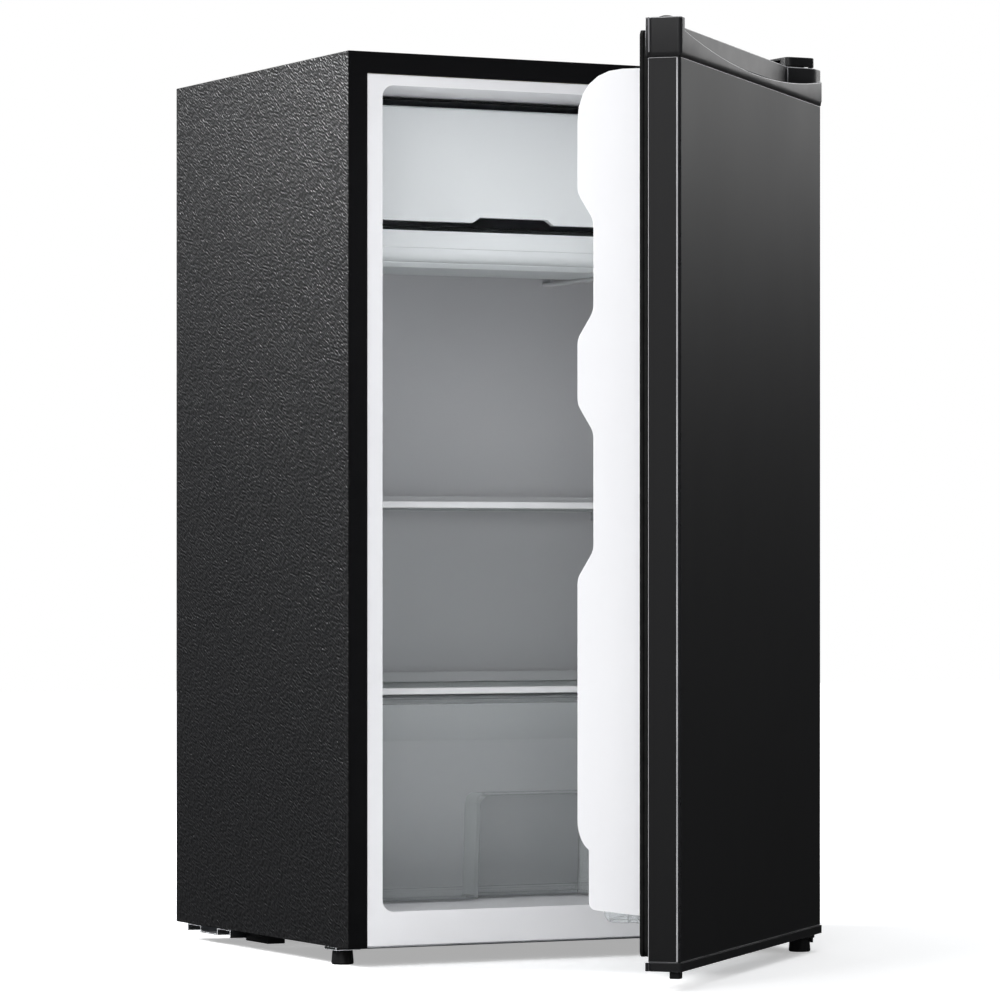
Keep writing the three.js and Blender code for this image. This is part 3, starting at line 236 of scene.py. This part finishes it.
def merged(node):
    """A copy of a drawn piece's mesh, with its loose triangles joined and its flats made whole."""
    bm = bmesh.new()
    bm.from_mesh(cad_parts[node].data)
    bmesh.ops.remove_doubles(bm, verts=bm.verts, dist=2e-6)
    bmesh.ops.dissolve_limit(
        bm, angle_limit=math.radians(0.6), verts=bm.verts, edges=bm.edges, use_dissolve_boundaries=False
    )
    return bm


def rounded(bm, radius, segments=2, from_angle=28.0, clamp=True):
    """Rounds every edge that is sharper than from_angle, in degrees. The new faces are returned."""
    sharp = [e for e in bm.edges if len(e.link_faces) == 2
             and e.calc_face_angle(0.0) > math.radians(from_angle)]
    return bmesh.ops.bevel(
        bm, geom=sharp, offset=radius, offset_type="OFFSET", affect="EDGES",
        segments=segments, profile=0.5, material=-1, clamp_overlap=clamp,
    )["faces"]


def eased(node, body, material, radius, segments=2, from_angle=28.0, edge_material=None):
    """A finished piece made from a drawn one, its sharp edges eased and, if asked, coloured."""
    bm = merged(node)
    for face in rounded(bm, radius, segments, from_angle):
        face.material_index = 1 if edge_material else 0
    piece = placed(bm, node + "_finished", body, material)
    if edge_material:
        piece.data.materials.append(edge_material)
    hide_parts(node)
    return piece


def repainted(piece, material, chosen):
    """Gives the piece's faces that pass the test a second finish."""
    piece.data.materials.append(material)
    for face in piece.data.polygons:
        if chosen(face):
            face.material_index = len(piece.data.materials) - 1


def grained_black_paint():
    material = new_finish("grained_black_paint", (0.007, 0.007, 0.008), 0.4, specular=0.5)
    creases = speckle(
        material, 560.0, stretch=(1.0, 2.6, 1.0), turn=(math.radians(31.0), 0.0, 0.0), detail=0.4
    )
    embossed(material, creases, 0.0008, 1.0)
    pores = speckle(material, 1100.0, detail=1.0)
    embossed(material, pores, 0.0002, 0.3)
    # The colour follows the grain relief, darker in its hollows: painted shade in the creases.
    tinted(material, creases, (0.002, 0.002, 0.0024), (0.01, 0.01, 0.011))
    return material


def smooth_black_paint():
    material = new_finish("smooth_black_paint", (0.003, 0.003, 0.0035), 0.5, specular=0.08)
    field = speckle(material, 60.0)
    dulled(material, field, 0.46, 0.56)
    embossed(material, speckle(material, 1400.0, detail=1.0), 0.00005, 0.15)
    return material


shell_paint = grained_black_paint()
plain_paint = smooth_black_paint()
shell = eased("outer_shell", "cabinet", shell_paint, 0.0007)
returns_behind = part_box("outer_shell")[0].y + 0.003
repainted(shell, plain_paint, lambda f: f.center.y < returns_behind and abs(f.normal.y) > 0.9)


# ------------------------------------------------------------------ bottom and back sheets
# The bottom is a bright galvanised sheet that steps up over the machine space. The back is a
# thin black painted sheet, tucked inside the shell's rear returns, which are screwed to it.

def galvanised_steel():
    material = new_finish("galvanised_steel", (0.52, 0.53, 0.55), 0.34, metallic=1.0)
    spangle = speckle(material, 45.0, detail=1.5)
    tinted(material, spangle, (0.42, 0.43, 0.45), (0.6, 0.61, 0.63))
    dulled(material, speckle(material, 120.0), 0.26, 0.44)
    return material


def thin_black_paint():
    material = new_finish("thin_black_paint", (0.02, 0.02, 0.021), 0.55)
    dulled(material, speckle(material, 35.0), 0.5, 0.62)
    embossed(material, speckle(material, 700.0, detail=1.0), 0.00008, 0.2)
    return material


zinc = galvanised_steel()
back_paint = thin_black_paint()
eased("floor_panel", "cabinet", zinc, 0.0004)
eased("back_panel", "cabinet", back_paint, 0.0004)
back_low, back_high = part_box("back_panel")
wrap_low, wrap_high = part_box("outer_shell")
return_middle = 0.007
screw_rows = 5
screw_margin = 0.02
screw_spacing = (back_high.z - back_low.z - 2 * screw_margin) / (screw_rows - 1)
screw_heads = bmesh.new()
for column in (wrap_low.x + return_middle, wrap_high.x - return_middle):
    for row in range(screw_rows):
        spot_z = back_low.z + screw_margin + row * screw_spacing
        head = bmesh.ops.create_cone(
            screw_heads, cap_ends=True, segments=20, radius1=0.0042, radius2=0.0028, depth=0.0022
        )["verts"]
        bmesh.ops.rotate(screw_heads, verts=head, matrix=Matrix.Rotation(math.radians(-90.0), 3, "X"))
        bmesh.ops.translate(screw_heads, verts=head, vec=(column, wrap_high.y + 0.0008, spot_z))
rounded(screw_heads, 0.0003, from_angle=40.0)
placed(screw_heads, "back_panel_screws", "cabinet", zinc)


# ------------------------------------------------------------------ inner liner
# One sheet of white polystyrene, warmed and drawn over a mould: flange, walls, shelf ledges and
# the step over the compressor in one piece, so every corner is soft. Foam fills the space behind.

def drawn_white_plastic():
    material = new_finish("drawn_white_plastic", (0.74, 0.74, 0.755), 0.34)
    tinted(material, speckle(material, 2.5), (0.725, 0.725, 0.742), (0.755, 0.755, 0.77))
    dulled(material, speckle(material, 25.0), 0.3, 0.42)
    embossed(material, speckle(material, 9.0, detail=1.0), 0.0006, 0.12)
    embossed(material, speckle(material, 800.0, detail=1.0), 0.00004, 0.2)
    return material


def rigid_foam():
    material = new_finish("rigid_foam", (0.8, 0.7, 0.45), 0.9)
    tinted(material, speckle(material, 400.0), (0.72, 0.62, 0.38), (0.86, 0.77, 0.53))
    embossed(material, speckle(material, 600.0), 0.0005, 0.6)
    return material


liner_white = drawn_white_plastic()
foam = rigid_foam()
eased("inner_liner", "cabinet", liner_white, 0.0012, segments=3)
for node in ("cabinet_foam", "door_foam"):
    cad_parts[node].data.materials.clear()
    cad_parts[node].data.materials.append(foam)


# ------------------------------------------------------------------ base and feet
# A folded zinc plate, bright along its cut edges, crosses the bottom behind two moulded runners.
# The front feet are black nylon on studs, waisted and wider at the floor. The rear feet are fixed
# rubber buttons.

def moulded_black_nylon():
    material = new_finish("moulded_black_nylon", (0.005, 0.005, 0.0055), 0.42)
    dulled(material, speckle(material, 90.0), 0.36, 0.5)
    embossed(material, speckle(material, 1100.0, detail=2.0), 0.00012, 0.3)
    return material


def matt_black_rubber():
    material = new_finish("matt_black_rubber", (0.006, 0.006, 0.006), 0.6, specular=0.2)
    tinted(material, speckle(material, 150.0), (0.003, 0.003, 0.003), (0.007, 0.007, 0.007))
    embossed(material, speckle(material, 900.0), 0.0002, 0.35)
    return material


def cut_zinc_edge():
    material = new_finish("cut_zinc_edge", (0.82, 0.83, 0.85), 0.3, metallic=0.3)
    dulled(material, speckle(material, 160.0), 0.25, 0.4)
    return material


nylon = moulded_black_nylon()
rubber = matt_black_rubber()
cut_zinc = cut_zinc_edge()
for node in ("base_plate", "left_foot_plate"):
    eased(node, "cabinet", zinc, 0.0005, edge_material=cut_zinc)
for node in ("base_rail_left", "base_rail_right"):
    eased(node, "cabinet", nylon, 0.0008)
for node in ("rear_left_foot", "rear_right_foot"):
    eased(node, "cabinet", rubber, 0.0006)
for node, body in (("front_left_foot", "left_foot"), ("front_right_foot", "right_foot")):
    eased(node, body, nylon, 0.0005)


# ------------------------------------------------------------------ hinges
# The lower bracket is thick enamelled steel with its pin riveted in, screwed up into the bottom.
# The upper leaf is bright zinc, held by two screws, with a snap-on black cover over it.

def baked_black_enamel():
    material = new_finish("baked_black_enamel", (0.01, 0.01, 0.011), 0.3)
    dulled(material, speckle(material, 80.0), 0.24, 0.36)
    embossed(material, speckle(material, 500.0, detail=1.0), 0.00008, 0.2)
    return material


enamel = baked_black_enamel()
eased("lower_hinge_bracket", "cabinet", enamel, 0.0005)
eased("upper_hinge_leaf", "cabinet", zinc, 0.0004)
eased("hinge_cover", "cabinet", nylon, 0.0009, segments=3)


def cross_screw(node, body, material):
    """A domed screw head with a cross slot, as wide as the drawn screw."""
    low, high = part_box(node)
    middle = (low + high) / 2
    height = high.z - low.z
    radius = (high.x - low.x) / 2
    crown = radius * 0.72
    dish = 0.0004
    slot_depth = 0.0005
    bm = bmesh.new()
    bmesh.ops.create_cone(
        bm, cap_ends=True, segments=24, radius1=radius, radius2=crown, depth=height
    )
    top_face = max(bm.faces, key=lambda f: f.calc_center_median().z)
    bmesh.ops.inset_individual(bm, faces=[top_face], thickness=radius * 0.3, depth=0.0)
    bmesh.ops.translate(bm, verts=top_face.verts, vec=(0.0, 0.0, -dish))
    for turn in (0.0, 90.0):
        arm = bmesh.ops.create_cube(bm, size=1.0)["verts"]
        bmesh.ops.scale(bm, verts=arm, vec=(radius * 1.1, radius * 0.2, slot_depth))
        bmesh.ops.rotate(bm, verts=arm, matrix=Matrix.Rotation(math.radians(turn), 3, "Z"))
        bmesh.ops.translate(bm, verts=arm, vec=(0.0, 0.0, height / 2 - 0.0003))
    bmesh.ops.translate(bm, verts=bm.verts, vec=middle)
    piece = placed(bm, node + "_finished", body, material, smooth=False)
    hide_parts(node)
    return piece


for node in ("hinge_screw_1", "hinge_screw_2"):
    cross_screw(node, "cabinet", zinc)


# ------------------------------------------------------------------ compressor and its pipes
# A welded, enamelled can stands on four rubber grommets with its starter clipped to one side.
# Water from inside runs down a tube to the pan on its lid, where the heat dries it off.

def drawn_copper():
    material = new_finish("drawn_copper", (0.72, 0.38, 0.24), 0.3, metallic=1.0)
    tinted(material, speckle(material, 60.0), (0.5, 0.24, 0.15), (0.8, 0.46, 0.3))
    dulled(material, speckle(material, 140.0), 0.24, 0.46)
    return material


def moulded_white_plastic():
    material = new_finish("moulded_white_plastic", (0.78, 0.785, 0.795), 0.38)
    tinted(material, speckle(material, 6.0), (0.765, 0.77, 0.78), (0.795, 0.8, 0.81))
    dulled(material, speckle(material, 70.0), 0.32, 0.44)
    embossed(material, speckle(material, 900.0), 0.00006, 0.25)
    return material


copper = drawn_copper()
moulded_white = moulded_white_plastic()
eased("compressor", "cabinet", enamel, 0.0008, from_angle=40.0)
for number in range(1, 5):
    eased(f"compressor_grommet_{number}", "cabinet", rubber, 0.0006, from_angle=40.0)
eased("starter_cover", "cabinet", nylon, 0.0012)
eased("evaporating_pan", "cabinet", nylon, 0.0006)
eased("drain_tube", "cabinet", moulded_white, 0.0004, from_angle=40.0)
eased("filter_drier", "cabinet", copper, 0.0006, from_angle=40.0)
eased("suction_tube", "cabinet", copper, 0.0003, from_angle=60.0)
eased("cord_gland", "cabinet", rubber, 0.0006, from_angle=40.0)


# ------------------------------------------------------------------ condenser
# One enamelled steel tube goes to and fro across the back, snapped into two upright moulded
# brackets.

eased("condenser_coil", "cabinet", enamel, 0.0003, from_angle=80.0)
for node in ("condenser_bracket_left", "condenser_bracket_right"):
    eased(node, "cabinet", nylon, 0.0006)


# ------------------------------------------------------------------ freezer box
# The box is a rolled aluminium sheet. Its front rim is painted matt black as painted shade, the
# shade in the gaps round the flap. Its flap and the ribbed drip tray under it are milky plastic.
# The flap hangs by two pins at its top corners.

def rolled_aluminium():
    material = new_finish("rolled_aluminium", (0.62, 0.64, 0.66), 0.42, metallic=0.9)
    dulled(material, speckle(material, 60.0, stretch=(1.0, 8.0, 1.0)), 0.36, 0.5)
    embossed(material, speckle(material, 30.0, detail=1.0), 0.0005, 0.2)
    return material


def milky_plastic():
    material = new_finish("milky_plastic", (0.8, 0.83, 0.84), 0.36)
    tinted(material, speckle(material, 5.0), (0.78, 0.81, 0.82), (0.82, 0.85, 0.86))
    dulled(material, speckle(material, 40.0), 0.3, 0.44)
    embossed(material, speckle(material, 1000.0), 0.00006, 0.3)
    shader = material.node_tree.nodes["Principled BSDF"]
    shader.inputs["Subsurface Weight"].default_value = 0.12
    shader.inputs["Subsurface Radius"].default_value = (1.0, 1.0, 1.0)
    shader.inputs["Subsurface Scale"].default_value = 0.002
    return material


aluminium = rolled_aluminium()
milky = milky_plastic()
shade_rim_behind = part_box("evaporator_box")[0].y + 0.012
box = eased("evaporator_box", "cabinet", aluminium, 0.0004)
# Painted shade: the rim's front faces take the black rubber finish, standing for the shade in the gap
# round the flap.
repainted(box, rubber, lambda f: f.center.y < shade_rim_behind)
for node in ("flap_bracket_left", "flap_bracket_right"):
    eased(node, "cabinet", moulded_white, 0.0003)
eased("freezer_flap", "freezer_door", milky, 0.0006, segments=3)
eased("drip_tray", "freezer_tray", milky, 0.0004, from_angle=60.0)


def bar(bm, low, high):
    """A straight bar between two corners."""
    verts = bmesh.ops.create_cube(bm, size=1.0)["verts"]
    bmesh.ops.scale(bm, verts=verts, vec=high - low)
    bmesh.ops.translate(bm, verts=verts, vec=(low + high) / 2)


tray_low, tray_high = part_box("drip_tray")
rib_count = 7
first_rib = 0.022
rib_spacing = 0.009
rib_width = 0.0014
rib_depth = 0.0012
rib_inset = 0.006
tray_ribs = bmesh.new()
for number in range(rib_count):
    rib_y = tray_low.y + first_rib + number * rib_spacing
    rib_low = Vector((tray_low.x + rib_inset, rib_y, tray_low.z - rib_depth))
    rib_high = Vector((tray_high.x - rib_inset, rib_y + rib_width, tray_low.z + 0.001))
    bar(tray_ribs, rib_low, rib_high)
rounded(tray_ribs, 0.0003)
placed(tray_ribs, "drip_tray_ribs", "freezer_tray", milky)
eased("tray_runner", "cabinet", moulded_white, 0.0008)


# ------------------------------------------------------------------ thermostat
# A moulded housing on the ceiling holds the sensor and its knob, which is gripped by a ridge
# across its face.

eased("thermostat_housing", "cabinet", moulded_white, 0.002, segments=3)
eased("thermostat_knob", "thermostat_dial", moulded_white, 0.0006)


# ------------------------------------------------------------------ shelves
# Each shelf is a plate of toughened glass, pushed into a moulded trim along its front and its
# rear edge. The trims slide on the liner's ledges.

def see_through(material, facing, grazing):
    """Clear when looked straight through, and denser along its edges and curves."""
    nodes = material.node_tree.nodes
    links = material.node_tree.links
    slant = nodes.new("ShaderNodeLayerWeight")
    slant.inputs["Blend"].default_value = 0.35
    density = nodes.new("ShaderNodeMapRange")
    density.inputs["To Min"].default_value = facing
    density.inputs["To Max"].default_value = grazing
    links.new(slant.outputs["Facing"], density.inputs["Value"])
    links.new(density.outputs["Result"], nodes["Principled BSDF"].inputs["Alpha"])


def toughened_glass():
    material = new_finish("toughened_glass", (0.74, 0.86, 0.83), 0.04, specular=0.8)
    dulled(material, speckle(material, 14.0), 0.02, 0.07)
    see_through(material, 0.14, 0.6)
    return material


glass = toughened_glass()
for shelf in ("upper_shelf", "lower_shelf"):
    eased(f"{shelf}_glass", shelf, glass, 0.0006)
    for trim in ("front_trim", "rear_trim"):
        eased(f"{shelf}_{trim}", shelf, moulded_white, 0.0008)


# ------------------------------------------------------------------ crisper
# A clear moulded drawer under the lower shelf. Its front leans forward, and a recess for the hand
# is moulded into the lower middle of it.

def clear_moulding():
    material = new_finish("clear_moulding", (0.8, 0.84, 0.85), 0.08, specular=0.8)
    dulled(material, speckle(material, 20.0), 0.05, 0.13)
    embossed(material, speckle(material, 12.0, detail=1.0), 0.0004, 0.1)
    see_through(material, 0.1, 0.65)
    return material


# Eased edges of the clear mouldings: denser, as the sheet is seen edge-on there, and coloured dark grey
# as painted shade for the dark lines that bent light draws along them.
def clear_edge_painted_dark():
    material = new_finish("clear_edge_painted_dark", (0.12, 0.12, 0.125), 0.12, specular=0.8)
    dulled(material, speckle(material, 20.0), 0.08, 0.16)
    see_through(material, 0.62, 0.9)
    return material


clear = clear_moulding()
painted_dark_edge = clear_edge_painted_dark()
# The drawer's eased edges get the dark grey painted shade.
eased("crisper_drawer", "crisper", clear, 0.0008, edge_material=painted_dark_edge)


# ------------------------------------------------------------------ door
# A tray of satin coated steel, closed at the top and the bottom by moulded caps and filled with
# foam. The top cap is scooped out behind a thin lip as the hand hold, and its end turns on the
# upper pin. The eased edges of the tray and the caps carry a painted highlight in light grey, and
# the tray's rounded free corner is glossier.

def satin_door_coat():
    material = new_finish("satin_door_coat", (0.004, 0.004, 0.0048), 0.48, specular=0.5)
    dulled(material, speckle(material, 14.0, stretch=(1.0, 1.0, 2.0)), 0.47, 0.49)
    embossed(material, speckle(material, 1500.0, stretch=(1.0, 1.0, 3.0), detail=1.0), 0.00003, 0.15)
    return material


def satin_cap_plastic():
    material = new_finish("satin_cap_plastic", (0.009, 0.009, 0.0098), 0.38)
    dulled(material, speckle(material, 60.0), 0.37, 0.4)
    embossed(material, speckle(material, 1300.0), 0.00006, 0.22)
    return material


# A painted highlight: a light grey laid on eased edges in place of the light they catch from the lamps.
def painted_edge_highlight():
    material = new_finish("painted_edge_highlight", (0.26, 0.26, 0.27), 0.32)
    dulled(material, speckle(material, 90.0), 0.26, 0.38)
    tinted(material, speckle(material, 25.0), (0.26, 0.26, 0.27), (0.4, 0.4, 0.41))
    return material


door_coat = satin_door_coat()
cap_plastic = satin_cap_plastic()
edge_highlight_paint = painted_edge_highlight()
# The tray's eased edges get the painted highlight.
panel = eased("door_panel", "door", door_coat, 0.0006, edge_material=edge_highlight_paint)
hinge_pin = Vector((0.2215, -0.2165, 0.0))
shut_from_rest = Matrix.Rotation(math.radians(-44.6), 3, "Z")
rest_from_shut = shut_from_rest.inverted()
free_side = rest_from_shut @ Vector((-1.0, 0.0, 0.0))
corner_from = 0.12
corner_to = 0.97
highlight_band_from = 0.9
highlight_band_to = 0.985
repainted(panel, enamel, lambda f: corner_from < f.normal.dot(free_side) < corner_to)
# A narrow band where the free corner begins gets the painted highlight too.
repainted(panel, edge_highlight_paint, lambda f: highlight_band_from < f.normal.dot(free_side) < highlight_band_to)


def undercut(bm, seam, rise, reach):
    """Slopes the cap's outer walls inward to meet the sheet, over the last of their height."""
    bmesh.ops.bisect_plane(
        bm, geom=bm.verts[:] + bm.edges[:] + bm.faces[:], dist=1e-6,
        plane_co=(0.0, 0.0, seam + rise), plane_no=(0.0, 0.0, 1.0),
    )
    spots = {v: shut_from_rest @ (v.co - hinge_pin) for v in bm.verts}
    outer_side = min(spot.x for spot in spots.values())
    outer_face = min(spot.y for spot in spots.values())
    just_above_seam = seam + 0.0005
    for vert, spot in spots.items():
        if vert.co.z < just_above_seam:
            spot.x = max(spot.x, outer_side + reach)
            spot.y = max(spot.y, outer_face + reach)
            vert.co = rest_from_shut @ spot + hinge_pin


cap_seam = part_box("door_top_cap")[0].z
undercut_rise = 0.0042
undercut_reach = 0.0014
cap = merged("door_top_cap")
undercut(cap, cap_seam, undercut_rise, undercut_reach)
# The cap's eased edges above the undercut get the light grey painted highlight; the undercut ones stay
# dark.
highlight_above = cap_seam + 0.005
for face in rounded(cap, 0.0008, clamp=False):
    face.material_index = 1 if face.calc_center_median().z > highlight_above else 0
cap_piece = placed(cap, "door_top_cap_finished", "door", cap_plastic)
cap_piece.data.materials.append(edge_highlight_paint)
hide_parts("door_top_cap")
# The bottom cap's eased edges get the light grey painted highlight.
eased("door_bottom_cap", "door", cap_plastic, 0.0008, edge_material=edge_highlight_paint)
eased("hinge_bush", "door", moulded_white, 0.0004, from_angle=40.0)
eased("hinge_hole_plug", "door", nylon, 0.0004, from_angle=40.0)
eased("door_stop_lug", "door", nylon, 0.0005, from_angle=40.0)


# ------------------------------------------------------------------ door seal
# A soft extruded vinyl section, pushed into a groove round the door liner and welded at the
# corners: a pleated bellows with a magnet strip in its face.

eased("door_gasket", "door", rubber, 0.0008)


# ------------------------------------------------------------------ door liner and racks
# The inner face is drawn from white sheet like the cabinet's. Two upright dikes carry the ends
# of three clear racks, which lift off their pegs.

eased("door_liner", "door", liner_white, 0.0016, segments=3)
# The racks' eased edges get the dark grey painted shade.
for level in ("bottom", "middle", "top"):
    eased(
        f"{level}_door_rack", f"{level}_rack", clear, 0.0008,
        edge_material=painted_dark_edge,
    )
